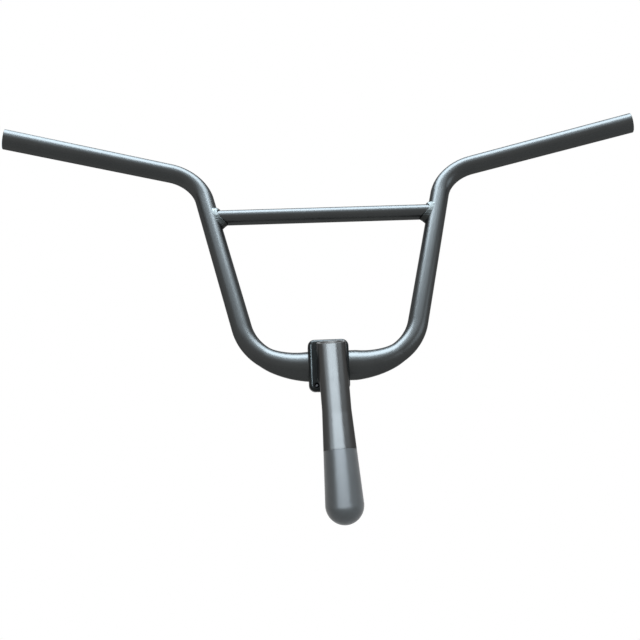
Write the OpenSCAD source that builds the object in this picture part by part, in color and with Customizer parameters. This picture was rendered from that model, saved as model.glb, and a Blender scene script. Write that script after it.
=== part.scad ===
// BMX handlebar held in a stem that is welded to a flared steering post.
// +Z runs up the steering post, +Y points forward and +X to the rider's right.
// The origin is on the post's axis, in the middle of its bare seat below the clamp.

/* [Bar tube] */
// Outside diameter of the bar tube and of its grips' seats
tube_od = 22.2; // [20:0.1:25.4]
// Wall of the bar tube
tube_wall = 1.6; // [1.2:0.1:2.5]
// Outside diameter of the swelled centre that the clamp holds
centre_od = 31.8; // [28:0.1:35]
// Length of the swelled centre at its full diameter
centre_length = 50; // [46:1:60]
// Radius of the easy bend that starts at the end of the swelled centre, to the centreline
centre_bend_radius = 96.6; // [80:0.1:140]
// Turn of that easy bend, in degrees
centre_bend = 20; // [10:0.5:26]
// Radius of the lower bend that follows it, to the centreline
lower_bend_radius = 60.9; // [50:0.1:80]
// Turn by which the centre has narrowed to the tube, in degrees
narrowing_arc = 33.7; // [28:0.1:45]
// Outward lean of each riser from the bar's middle line, in degrees
riser_splay = 14.9; // [5:0.1:25]
// Straight length of each riser
riser_length = 176.4; // [120:0.1:220]
// Radius of the upper bend, to the tube's centreline
upper_bend_radius = 44.5; // [38:0.1:70]
// Upward sweep of the grips, in degrees
up_sweep = 1.6; // [0:0.1:6]
// Backward sweep of the grips, in degrees
back_sweep = 19.4; // [5:0.1:25]
// Straight length of each grip seat, from the upper bend to the open end
grip_length = 183.2; // [150:0.1:220]

/* [Crossbar] */
// Outside diameter of the crossbar
crossbar_od = 18; // [15:0.1:20]
// Wall of the crossbar
crossbar_wall = 1.4; // [1:0.1:2]
// Drop of the crossbar's axis below the top of the straight risers
crossbar_drop = 25.3; // [20:0.1:60]
// Leg of the crossbar's welds on both tubes, at their top
weld_leg = 3.6; // [2:0.1:5]
// Leg of the welds along the crossbar, at their underside
weld_leg_low = 8; // [5:0.1:10]
// Height of the bead above a flat fillet at the top, and its hollow at the underside
weld_crown = 0.9; // [0.3:0.1:1.5]
weld_hollow = 0.7; // [0:0.1:1.2]
// Height of the ripples on the bead, and their number round the crossbar
weld_ripple = 0.45; // [0.1:0.05:0.8]
weld_ripples = 36; // [24:2:48]

/* [Steering post] */
// Outside diameter of the straight upper part of the post
post_od = 28.6; // [25:0.1:31]
// Wall of the post
post_wall = 2.3; // [1.8:0.1:3]
// Height of the post's top above the bar's centre
post_top_height = 20.6; // [16:0.1:26]
// Slope of the post's cut top, falling towards the rider, in degrees
post_top_slope = 11; // [0:1:14]
// Bare straight seat of the post, from the weld's clearance down to the flare
seat_length = 16; // [10:1:30]
// Distance from the bar's centre down to the start of the flare
flare_drop = 45.9; // [44:0.1:60]
// Growth of the diameter for each millimetre down the flare
flare_rate = 0.0965; // [0.05:0.0005:0.12]
// Length of the flared part of the metal post
flare_length = 38; // [30:1:50]

/* [End cap] */
// Diameter of the cap's domed end
dome_od = 37.2; // [36:0.1:40]
// Wall of the cap
cap_wall = 2.6; // [2:0.1:4]
// Depth of the cap's spigot inside the post
spigot_depth = 22; // [14:1:30]
// Clearance between the spigot and the post, on the radius
spigot_clearance = 0.1; // [0.05:0.05:0.3]
// Slope of the line where cap and post meet, higher on the rider's side, in degrees
cap_line_slope = 8.5; // [0:0.5:12]

/* [Stem clamp] */
// Distance from the post's axis forward to the bar's centre
reach = 53.8; // [50:0.1:60]
// Distance of the bar's centre to the right of the post's axis
bar_offset = 2.4; // [-4:0.1:4]
// Distance of the clamp's middle to the right of the post's axis
clamp_offset = -2.2; // [-4:0.1:4]
// Tilt of the bar and its clamp off square to the post, right end down, in degrees
bar_tilt = 2.4; // [-4:0.1:4]
// Forward lean of the risers from the post's axis, in degrees
riser_lean = 18.6; // [0:0.1:30]
// Width of the clamp
clamp_width = 42.5; // [40:0.5:46]
// Height of the clamp
clamp_height = 54; // [52:0.5:60]
// Radius of the clamp's corners seen from behind
clamp_corner = 7; // [4:0.5:9]
// Distance from the bar's centre back to the clamp's rear face
clamp_back = 18.5; // [17.5:0.5:24]
// Gap between the clamp's body and its face plate
clamp_gap = 2; // [1:0.1:3]
// Thickness of the face plate over the bar
plate_wall = 4.6; // [3:0.1:7]
// Depth of the face plate's bolt lugs, forward of the bar's centre
lug_depth = 10; // [8:0.5:12]
// Width of the neck between the clamp and the post
neck_width = 25; // [18:0.5:26]
// Height of the neck
neck_height = 40; // [30:0.5:44]
// Leg of the weld between the neck and the post
neck_weld_leg = 3; // [2:0.5:4]

/* [Clamp bolts] */
// Thread diameter of the clamp bolts
bolt_od = 5; // [4:1:6]
// Length of the bolts under the head
bolt_length = 20; // [16:1:24]
// Spacing of the bolts across the clamp
bolt_spacing_x = 26.5; // [24:0.5:30]
// Spacing of the bolts up the clamp
bolt_spacing_z = 40.5; // [40:0.5:44]
// Diameter of the bolt heads
head_od = 8.5; // [7:0.1:9]
// Height of the bolt heads
head_height = 5; // [4:0.5:6]
// Hexagon socket in the bolt heads, across its flats
socket_flats = 4; // [3:1:5]
// Clearance of a bolt in its hole and of its head in its recess, on the radius
bolt_clearance = 0.1; // [0.05:0.05:0.4]
// Depth of the recess that each bolt head sits in
head_recess = 3; // [2:0.5:4]
// Metal left behind the two blind upper bolt holes
blind_wall = 3.5; // [2:0.5:6]

/* [Hidden] */
$fn = 96;
// Sides and slices of the narrowing stretch of the bar tube
ring_sides = 40;
narrowing_rings = 11;
// Radius that a bend loses, and length by which straight stretches run into it
bend_thinning = 0.02;
joint_overlap = 0.3;
// Steps round the crossbar's welds and rows on each side of their section
weld_steps = 144;
weld_rows = 4;
// Gap from the welds to both tubes, and share of the riser's half width that they wrap
weld_gap = 0.01;
weld_wrap = 0.97;
// Lengths of the easy bend and of the whole narrowing stretch
easy_length = centre_bend_radius * centre_bend * PI / 180;
narrowing_total = easy_length + lower_bend_radius * (narrowing_arc - centre_bend) * PI / 180;
// Middle of the lower bend, in the bar's own plane
bend_x = centre_length / 2 + (centre_bend_radius - lower_bend_radius) * sin(centre_bend);
bend_z = centre_bend_radius - (centre_bend_radius - lower_bend_radius) * cos(centre_bend);
// Foot of the straight riser
riser_foot_x = bend_x + lower_bend_radius * cos(riser_splay);
riser_foot_z = bend_z - lower_bend_radius * sin(riser_splay);
// Direction of the grip, seen from the riser: turn about the riser, and angle of the upper bend
grip_side = cos(up_sweep) * cos(back_sweep) * cos(riser_splay) - sin(up_sweep) * sin(riser_splay);
grip_back = -cos(up_sweep) * sin(back_sweep);
grip_along = cos(up_sweep) * cos(back_sweep) * sin(riser_splay) + sin(up_sweep) * cos(riser_splay);
upper_bend_turn = atan2(grip_back, grip_side);
upper_bend_angle = acos(grip_along);
// Height of the crossbar above the bottom tube, and its middle's distance to a riser's centreline
crossbar_height = riser_foot_z + riser_length * cos(riser_splay) - crossbar_drop;
crossbar_half = riser_foot_x + (crossbar_height - riser_foot_z) * tan(riser_splay);
// Heights on the post, from the origin
bar_z = flare_drop - seat_length / 2;
post_top_z = bar_z + post_top_height;
flare_top_z = bar_z - flare_drop;
cap_line_z = flare_top_z - flare_length;
post_id = post_od - 2 * post_wall;
mouth_od = post_od + flare_rate * flare_length;
dome_z = cap_line_z - (dome_od - mouth_od) / flare_rate;
cut_size = 120;
// Clamp
bore_margin = 1;
neck_corner = 6;
bolt_seat_y = lug_depth - head_recess;

// Carries the bar's own frame, with its risers along Z, to its place in the clamp
module in_bar_frame() {
    in_clamp_frame() rotate([-riser_lean, 0, 0]) children();
}

// Carries the clamp's frame, centred on the bar, to its place in front of the post
module in_clamp_frame() {
    translate([bar_offset, reach, bar_z]) rotate([0, bar_tilt, 0]) children();
}

// A pair of equal shapes, one on each side of the bar's middle
module both_sides() {
    children();
    mirror([1, 0, 0]) children();
}

// Place and heading of the narrowing stretch at a distance from its start
function bend_at(d) = d < easy_length ? d / centre_bend_radius * 180 / PI
    : centre_bend + (d - easy_length) / lower_bend_radius * 180 / PI;
function narrowing_x(d) = d < easy_length
    ? centre_length / 2 + centre_bend_radius * sin(bend_at(d))
    : bend_x + lower_bend_radius * sin(bend_at(d));
function narrowing_z(d) = d < easy_length
    ? centre_bend_radius * (1 - cos(bend_at(d)))
    : bend_z - lower_bend_radius * cos(bend_at(d));
function narrowing_point(d, radius, turn) = [
    narrowing_x(d) - radius * sin(bend_at(d)) * cos(turn),
    radius * sin(turn),
    narrowing_z(d) + radius * cos(bend_at(d)) * cos(turn)
];
function narrowing_radius(d) = (centre_od - (centre_od - tube_od) * d / narrowing_total) / 2;

// Stretch where the swelled centre narrows to the tube, through the start of the lower bend,
// for a wall taken off the radius
module narrowing_solid(wall) {
    rings = [
        for (i = [0:narrowing_rings])
            i * (narrowing_total + 2 * joint_overlap) / narrowing_rings - joint_overlap
    ];
    points = [
        for (d = rings) for (k = [0:ring_sides - 1])
            narrowing_point(d, narrowing_radius(d) - wall - 3 * bend_thinning, 360 * k / ring_sides)
    ];
    sides = [
        for (i = [0:narrowing_rings - 1]) for (k = [0:ring_sides - 1])
            let (a = i * ring_sides + k, b = i * ring_sides + (k + 1) % ring_sides)
                [a, b, b + ring_sides, a + ring_sides]
    ];
    last = narrowing_rings * ring_sides;
    start_face = [for (k = [ring_sides - 1:-1:0]) k];
    end_face = [for (k = [0:ring_sides - 1]) last + k];
    polyhedron(points = points, faces = concat(sides, [start_face, end_face]));
}

// Frame at the foot of the right riser, with Z up the riser
module at_riser_foot() {
    translate([riser_foot_x, 0, riser_foot_z]) rotate([0, riser_splay, 0]) children();
}

// Frame at the top of the right riser, with its XZ plane turned into the upper bend's plane
module at_riser_top() {
    at_riser_foot() translate([0, 0, riser_length]) rotate([0, 0, upper_bend_turn]) children();
}

// Frame at the start of the right grip, with Z along the grip
module at_grip() {
    at_riser_top() translate([upper_bend_radius * (1 - cos(upper_bend_angle)), 0,
        upper_bend_radius * sin(upper_bend_angle)]) rotate([0, upper_bend_angle, 0]) children();
}

// Solid of the bent bar for a wall taken off its radius, its open ends run on by a length
module bar_solid(wall, run_on) {
    radius = tube_od / 2 - wall;
    translate([-centre_length / 2, 0, 0]) rotate([0, 90, 0])
        cylinder(d = centre_od - 2 * wall, h = centre_length);
    both_sides() {
        narrowing_solid(wall);
        translate([bend_x, 0, bend_z]) rotate([90, 0, 0])
            rotate([0, 0, narrowing_arc - 90])
            rotate_extrude(angle = 90 - riser_splay - narrowing_arc)
            translate([lower_bend_radius, 0]) circle(r = radius - bend_thinning);
        at_riser_foot() translate([0, 0, -joint_overlap])
            cylinder(r = radius, h = riser_length + 2 * joint_overlap);
        at_riser_top() translate([upper_bend_radius, 0, 0]) rotate([90, 0, 0])
            rotate([0, 0, 180 - upper_bend_angle])
            rotate_extrude(angle = upper_bend_angle) translate([upper_bend_radius, 0])
            circle(r = radius - bend_thinning);
        at_grip() translate([0, 0, -joint_overlap])
            cylinder(r = radius, h = grip_length + joint_overlap + run_on);
    }
}

// One bent tube: grips, upper bends, risers, lower bends and swelled centre
module main_tube() {
    color([0.36, 0.37, 0.37]) in_bar_frame() difference() {
        bar_solid(0, 0);
        bar_solid(tube_wall, 1);
    }
}

// Solid of the crossbar's outside, from riser centreline to riser centreline
module crossbar_solid(diameter) {
    translate([-crossbar_half, 0, crossbar_height]) rotate([0, 90, 0])
        cylinder(d = diameter, h = 2 * crossbar_half);
}

// Solid of both risers' outside, used to cut the crossbar and its welds to them
module risers_solid() {
    both_sides() at_riser_foot() cylinder(d = tube_od, h = riser_length);
}

// Crossbar, a tube with its ends cut to sit on the risers
module crossbar() {
    color([0.42, 0.43, 0.43]) in_bar_frame() difference() {
        crossbar_solid(crossbar_od);
        crossbar_solid(crossbar_od - 2 * crossbar_wall);
        risers_solid();
    }
}

// Weld bead round the right end of the crossbar, swept along the saddle where the tubes meet.
// turn is the angle round the crossbar from its top, radial the distance from its axis.
function underside(turn) = (1 - cos(turn)) / 2;
function saddle_x(radial, turn) = crossbar_half
    + (radial * cos(turn) * sin(riser_splay)
        - sqrt(pow(tube_od / 2 + weld_gap, 2) - pow(radial * sin(turn), 2))) / cos(riser_splay);
function toe_radial(turn) = let (
        leg = weld_leg + (0.75 * weld_leg_low - weld_leg) * underside(turn),
        side = weld_wrap * tube_od / 2 / max(abs(sin(turn)), 0.01))
    min(crossbar_od / 2 + leg, side);
function toe_x(turn) = saddle_x(crossbar_od / 2 + weld_gap, turn)
    - weld_leg - (weld_leg_low - weld_leg) * underside(turn);
function ripple(turn, u) = let (n = turn / 360 * weld_ripples + 0.4 * sin(180 * u))
    weld_ripple * (1 - (n - floor(n)));
function bead_height(turn, u) = sin(180 * u)
    * (weld_crown - (weld_crown + weld_hollow) * underside(turn) + ripple(turn, u));
function on_riser(turn, u) = let (
        root = crossbar_od / 2 + weld_gap, radial = root + (toe_radial(turn) - root) * u)
    [saddle_x(radial, turn), radial];
function on_bead(turn, u) = let (
        high = on_riser(turn, 1), low = [toe_x(turn), crossbar_od / 2 + weld_gap],
        run = low - high, lift = bead_height(turn, u) / norm(run))
    high + run * u + [run[1], -run[0]] * lift;
function weld_section(turn) = concat(
    [for (k = [0:weld_rows - 1]) on_riser(turn, k / weld_rows)],
    [for (k = [0:weld_rows]) on_bead(turn, k / weld_rows)]);

module crossbar_weld() {
    count = 2 * weld_rows + 1;
    points = [
        for (i = [0:weld_steps - 1])
            let (turn = 360 * i / weld_steps)
                for (q = weld_section(turn))
                    [q[0], q[1] * sin(turn), crossbar_height + q[1] * cos(turn)]
    ];
    total = weld_steps * count;
    faces = [
        for (i = [0:weld_steps - 1]) for (k = [0:count - 1])
            let (a = i * count + k, b = i * count + (k + 1) % count)
                for (face = [[a, b, (b + count) % total], [a, (b + count) % total, (a + count) % total]])
                    face
    ];
    polyhedron(points = points, faces = faces);
}

module right_weld() {
    color([0.5, 0.51, 0.5]) in_bar_frame() crossbar_weld();
}

module left_weld() {
    color([0.5, 0.51, 0.5]) in_bar_frame() mirror([1, 0, 0]) crossbar_weld();
}

// Half space above a plane through the post's axis at height z, rising towards the rider
module above_plane(z, slope) {
    translate([0, 0, z]) rotate([-slope, 0, 0]) translate([-cut_size / 2, -cut_size / 2, 0])
        cube(cut_size);
}

// Outside of the flare from its top down to a depth, for a wall taken off the radius
module flare_solid(depth, wall) {
    translate([0, 0, flare_top_z - depth])
        cylinder(d1 = post_od + flare_rate * depth - 2 * wall, d2 = post_od - 2 * wall, h = depth);
}

// Post: straight tube with a sloped top, flaring below its seat to the cap's line
module steering_post() {
    flare_depth = flare_length + mouth_od / 2;
    color([0.4, 0.41, 0.41]) difference() {
        union() {
            translate([0, 0, flare_top_z])
                cylinder(d = post_od, h = post_top_z + post_od - flare_top_z);
            flare_solid(flare_depth, 0);
        }
        translate([0, 0, flare_top_z])
            cylinder(d = post_id, h = post_top_z + post_od - flare_top_z + 1);
        flare_solid(flare_depth + 1, post_wall);
        above_plane(post_top_z, -post_top_slope);
        translate([0, 0, cap_line_z]) rotate([-cap_line_slope, 0, 0])
            translate([-cut_size / 2, -cut_size / 2, -cut_size]) cube(cut_size);
    }
}

// Cap: flush continuation of the flare with a domed end, hollow, on a spigot in the post
module end_cap() {
    flare_depth = flare_top_z - dome_z;
    color([0.58, 0.6, 0.6]) difference() {
        union() {
            difference() {
                union() {
                    flare_solid(flare_depth, 0);
                    translate([0, 0, dome_z]) sphere(d = dome_od);
                }
                above_plane(cap_line_z, cap_line_slope);
            }
            intersection() {
                flare_solid(flare_depth, post_wall + spigot_clearance);
                translate([0, 0, cap_line_z - spigot_depth / 2])
                    cylinder(d = mouth_od, h = spigot_depth * 1.5);
            }
        }
        flare_solid(flare_depth, post_wall + spigot_clearance + cap_wall);
        translate([0, 0, dome_z]) sphere(d = dome_od - 2 * cap_wall);
    }
}

// Plate with rounded corners, seen from behind
module rounded_plate(width, height, corner) {
    square([width - 2 * corner, height], center = true);
    square([width, height - 2 * corner], center = true);
    for (x = [-1, 1], z = [-1, 1])
        translate([x * (width / 2 - corner), z * (height / 2 - corner)]) circle(r = corner);
}

// Block seen from behind, between two distances along Y, at a distance right of the post's axis
module clamp_block(middle, y_low, y_high, width, height, corner) {
    translate([middle - bar_offset, y_high, 0]) rotate([90, 0, 0]) linear_extrude(height = y_high - y_low)
        rounded_plate(width, height, corner);
}

// Places one shape on each of the four bolt axes
module at_bolts(rows) {
    for (x = [-1, 1], z = rows)
        translate([x * bolt_spacing_x / 2 + clamp_offset - bar_offset, 0, z * bolt_spacing_z / 2])
            children();
}

// Cylinder along Y between two distances
module hole_y(diameter, y_low, y_high) {
    translate([0, y_high, 0]) rotate([90, 0, 0]) cylinder(d = diameter, h = y_high - y_low);
}

module bar_bore() {
    translate([-clamp_width, 0, 0]) rotate([0, 90, 0])
        cylinder(d = centre_od, h = 2 * clamp_width);
}

// Post's outside in the clamp's frame, used to cut the neck and its weld to it
module post_solid(extra) {
    translate([0, -reach, 0]) rotate([0, -bar_tilt, 0]) translate([-bar_offset, 0, -cut_size / 2])
        cylinder(d = post_od + 2 * extra, h = cut_size);
}

// Rear half of the clamp with its neck, cut to the post that it is welded to
module clamp_body() {
    hole = bolt_od + 2 * bolt_clearance;
    color([0.16, 0.17, 0.17]) in_clamp_frame() difference() {
        union() {
            clamp_block(clamp_offset, -clamp_back, -clamp_gap / 2, clamp_width, clamp_height,
                clamp_corner);
            clamp_block(0, -reach, -clamp_back + bore_margin, neck_width, neck_height, neck_corner);
        }
        bar_bore();
        post_solid(0);
        translate([0, -reach - cut_size / 2, 0]) cube(cut_size, center = true);
        at_bolts([-1]) hole_y(hole, -clamp_back - 1, 1);
        at_bolts([1]) hole_y(hole, -clamp_back + blind_wall, 1);
    }
}

// Weld bead around the neck where it meets the post
module post_weld() {
    color([0.3, 0.31, 0.31]) in_clamp_frame() difference() {
        intersection() {
            clamp_block(0, -reach + 2, -clamp_back, neck_width + 2 * neck_weld_leg,
                neck_height + 2 * neck_weld_leg, neck_corner + neck_weld_leg);
            post_solid(neck_weld_leg);
        }
        post_solid(0);
        clamp_block(0, -reach, -clamp_back + bore_margin, neck_width, neck_height, neck_corner);
    }
}

// Front half of the clamp: lugs for the bolts and a shell over the bar
module face_plate() {
    color([0.16, 0.17, 0.17]) in_clamp_frame() difference() {
        union() {
            clamp_block(clamp_offset, clamp_gap / 2, lug_depth, clamp_width, clamp_height,
                clamp_corner);
            intersection() {
                clamp_block(clamp_offset, clamp_gap / 2, cut_size / 2, clamp_width, clamp_height,
                    clamp_corner);
                translate([-clamp_width, 0, 0]) rotate([0, 90, 0])
                    cylinder(d = centre_od + 2 * plate_wall, h = 2 * clamp_width);
            }
        }
        bar_bore();
        at_bolts([-1, 1]) hole_y(bolt_od + 2 * bolt_clearance, 0, lug_depth + 1);
        at_bolts([-1, 1]) hole_y(head_od + 2 * bolt_clearance, bolt_seat_y, cut_size / 2);
    }
}

// Socket head bolt along Y, its head's underside at the seat
module clamp_bolt() {
    difference() {
        union() {
            hole_y(bolt_od, bolt_seat_y - bolt_length, bolt_seat_y);
            hole_y(head_od, bolt_seat_y, bolt_seat_y + head_height);
        }
        translate([0, bolt_seat_y + head_height + 1, 0]) rotate([90, 0, 0])
            cylinder(d = socket_flats / cos(30), h = head_height / 2 + 1, $fn = 6);
    }
}

// The four equal clamp bolts
module clamp_bolts() {
    color([0.2, 0.2, 0.21]) in_clamp_frame() at_bolts([-1, 1]) clamp_bolt();
}

main_tube();
crossbar();
left_weld();
right_weld();
steering_post();
clamp_body();
post_weld();
face_plate();
clamp_bolts();
end_cap();
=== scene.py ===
"""Looks of a bmx handlebar that is clamped in its stem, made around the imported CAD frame.

Lengths are metres. +Z runs up the steering post, +Y points forward and +X to the rider's right.
"""

import logging
import math
from contextlib import contextmanager
from dataclasses import dataclass, field
from enum import Enum
from typing import Any, Callable, Iterator, Sequence

import bpy
from mathutils import Matrix, Vector


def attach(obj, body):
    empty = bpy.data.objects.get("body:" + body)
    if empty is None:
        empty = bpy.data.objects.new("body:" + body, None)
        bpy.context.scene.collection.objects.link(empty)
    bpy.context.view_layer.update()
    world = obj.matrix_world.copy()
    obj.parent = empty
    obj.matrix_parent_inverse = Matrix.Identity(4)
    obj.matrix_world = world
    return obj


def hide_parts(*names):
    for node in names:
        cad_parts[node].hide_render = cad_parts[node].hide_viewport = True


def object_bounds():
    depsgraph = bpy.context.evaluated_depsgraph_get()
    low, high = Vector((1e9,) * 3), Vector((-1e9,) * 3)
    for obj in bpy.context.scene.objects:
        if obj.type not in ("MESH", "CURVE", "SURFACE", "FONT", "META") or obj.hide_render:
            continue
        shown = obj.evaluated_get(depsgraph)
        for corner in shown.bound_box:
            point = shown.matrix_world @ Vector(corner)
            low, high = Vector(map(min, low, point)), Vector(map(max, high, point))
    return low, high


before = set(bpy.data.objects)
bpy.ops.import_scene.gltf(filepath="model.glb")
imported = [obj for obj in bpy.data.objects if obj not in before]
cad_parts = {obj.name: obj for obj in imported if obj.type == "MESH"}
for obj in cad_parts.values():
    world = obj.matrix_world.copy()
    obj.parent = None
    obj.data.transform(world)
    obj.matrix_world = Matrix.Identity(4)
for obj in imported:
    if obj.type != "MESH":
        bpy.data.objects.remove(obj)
CAD_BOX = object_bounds()
MM = 0.001
MERGE_GAP = 2e-6
TOUCH = 0.01
X, Y = 0, 1
WHITE = (1.0, 1.0, 1.0)
EdgeTest = Callable[[Vector, Vector], bool]
log = logging.getLogger("handlebar")


class Signal:
    """One output of a material's nodes, on which plain arithmetic adds Math nodes."""

    def __init__(self, bench: "Bench", socket: bpy.types.NodeSocket) -> None:
        """Keeps the bench that adds nodes and the output socket to work on."""
        self.bench = bench
        self.socket = socket

    def _maths(self, operation: str, *terms: "Signal | float") -> "Signal":
        """Adds one Math node with its inputs in order, and hands back its result."""
        inputs = dict(enumerate(terms))
        return self.bench.node("ShaderNodeMath", {"operation": operation}, inputs)

    def __add__(self, other: "Signal | float") -> "Signal":
        """Sum of this signal and a term."""
        return self._maths("ADD", self, other)

    def __radd__(self, other: float) -> "Signal":
        """Sum of a term and this signal."""
        return self._maths("ADD", other, self)

    def __sub__(self, other: "Signal | float") -> "Signal":
        """This signal less a term."""
        return self._maths("SUBTRACT", self, other)

    def __rsub__(self, other: float) -> "Signal":
        """A term less this signal."""
        return self._maths("SUBTRACT", other, self)

    def __mul__(self, other: "Signal | float") -> "Signal":
        """Product of this signal and a term."""
        return self._maths("MULTIPLY", self, other)

    def __pow__(self, power: float) -> "Signal":
        """This signal raised to a power."""
        return self._maths("POWER", self, power)

    def rise(self, start: float, end: float) -> "Signal":
        """Ramp that is 0 at start, 1 at end and smooth between.

        Args:
            start: Value at which the ramp leaves 0.
            end: Value at which it reaches 1.

        Returns:
            The ramp, held within 0 to 1.
        """
        settings = {"interpolation_type": "SMOOTHSTEP"}
        inputs = {"Value": self, "From Min": start, "From Max": end}
        return self.bench.node("ShaderNodeMapRange", settings, inputs)


class Bench:
    """Builder of one node tree, a material's or the world's."""

    def __init__(self, owner: bpy.types.Material | bpy.types.World, end: str) -> None:
        """Starts an empty node tree.

        Args:
            owner: The new material or world.
            end: Type of its output node.
        """
        owner.use_nodes = True
        self.owner = owner
        self.tree = owner.node_tree
        self.tree.nodes.clear()
        self.out = self.tree.nodes.new(end)

    @classmethod
    def material(cls, name: str) -> "Bench":
        """Starts an empty material."""
        return cls(bpy.data.materials.new(name), "ShaderNodeOutputMaterial")

    def node(
        self,
        kind: str,
        settings: dict[str, Any] | None = None,
        inputs: dict[Any, Any] | None = None,
        output: Any = 0,
    ) -> Signal:
        """Adds any node.

        Args:
            kind: The node's type.
            settings: Its own settings, set before its sockets.
            inputs: Values or links by socket name or number.
            output: Name or number of the output that is handed back.

        Returns:
            The chosen output.
        """
        made = self.tree.nodes.new(kind)
        for key, value in (settings or {}).items():
            setattr(made, key, value)
        for key, value in (inputs or {}).items():
            self._feed(made.inputs[key], value)
        return Signal(self, made.outputs[output])

    def _feed(self, socket: bpy.types.NodeSocket, value: Any) -> None:
        """Links or sets one input socket.

        Args:
            socket: The input.
            value: A signal to link, a number, or a colour or vector.
        """
        if isinstance(value, Signal):
            self.tree.links.new(value.socket, socket)
        elif isinstance(value, tuple) and socket.type == "RGBA":
            socket.default_value = (*value, 1.0)
        else:
            socket.default_value = value

    def place(self) -> Signal:
        """Coordinates of the piece itself, in metres."""
        return self.node("ShaderNodeTexCoord", output="Object")

    def axes(self, place: Signal) -> tuple[Signal, Signal, Signal]:
        """X, Y and Z parts of a vector."""
        made = self.node("ShaderNodeSeparateXYZ", None, {0: place}).socket.node
        return tuple(Signal(self, socket) for socket in made.outputs)

    def noise(self, place: Signal, size: float, detail: float = 2.0) -> Signal:
        """Soft noise from 0 to 1, with marks of a size in metres and a number of finer layers."""
        inputs = {"Vector": place, "Scale": 1.0 / size, "Detail": detail}
        return self.node("ShaderNodeTexNoise", None, inputs)

    def cells(self, place: Signal, size: float, output: str) -> Signal:
        """One output of a cell pattern, with cells of a size in metres."""
        inputs = {"Vector": place, "Scale": 1.0 / size}
        return self.node("ShaderNodeTexVoronoi", None, inputs, output)

    def stretched(self, place: Signal, factors: tuple[float, float, float]) -> Signal:
        """Coordinates scaled by a factor along X, Y and Z."""
        return self.node("ShaderNodeMapping", None, {"Vector": place, "Scale": factors})

    def tint(self, share: Signal, low: Any, high: Any) -> Signal:
        """Mixes two colours by the share of the second."""
        settings = {"data_type": "RGBA", "clamp_factor": True}
        return self.node("ShaderNodeMix", settings, {0: share, 6: low, 7: high}, 2)

    def bump(self, height: Signal, depth: float) -> Signal:
        """Normal that heights from 0 to 1 tilt, for the depth in metres of a height of 1."""
        inputs = {"Strength": 1.0, "Distance": depth, "Height": height}
        return self.node("ShaderNodeBump", None, inputs)

    def rays(self, *kinds: str) -> Signal:
        """Tells chosen kinds of ray from the others.

        Args:
            kinds: Names of the Light Path node's outputs.

        Returns:
            1 for a ray of any of those kinds, or else 0.
        """
        outputs = self.node("ShaderNodeLightPath").socket.node.outputs
        first, *others = (Signal(self, outputs[kind]) for kind in kinds)
        for other in others:
            first = self.node("ShaderNodeMath", {"operation": "MAXIMUM"}, {0: first, 1: other})
        return first

    def blend(self, share: Signal, low: Signal, high: Signal) -> Signal:
        """Mixes two shaders by the share of the second."""
        return self.node("ShaderNodeMixShader", None, {0: share, 1: low, 2: high})

    def finish(self, shader: Signal) -> Any:
        """Ends the tree with a shader, and hands back its material or world."""
        self.tree.links.new(shader.socket, self.out.inputs["Surface"])
        return self.owner

    def surface(self, inputs: dict[str, Any]) -> bpy.types.Material:
        """Ends a material with a Principled shader, whose sockets get values or links."""
        return self.finish(self.node("ShaderNodeBsdfPrincipled", None, inputs))


def alone(piece: bpy.types.Object) -> None:
    """Selects one piece alone and makes it the active one.

    Args:
        piece: The piece.
    """
    bpy.ops.object.select_all(action="DESELECT")
    piece.select_set(True)
    bpy.context.view_layer.objects.active = piece


@contextmanager
def editing() -> Iterator[None]:
    """Holds the active piece in edit mode."""
    bpy.ops.object.mode_set(mode="EDIT")
    yield
    bpy.ops.object.mode_set(mode="OBJECT")


def along(axis: int, least: float = 1.0) -> EdgeTest:
    """Test for edges that run along an axis for more than a length."""
    return lambda a, b: abs(a[axis] - b[axis]) > least


def in_plane(axis: int, bound: float) -> EdgeTest:
    """Test for edges in the plane that crosses an axis at a bound."""
    return lambda a, b: max(abs(a[axis] - bound), abs(b[axis] - bound)) < TOUCH


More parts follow.
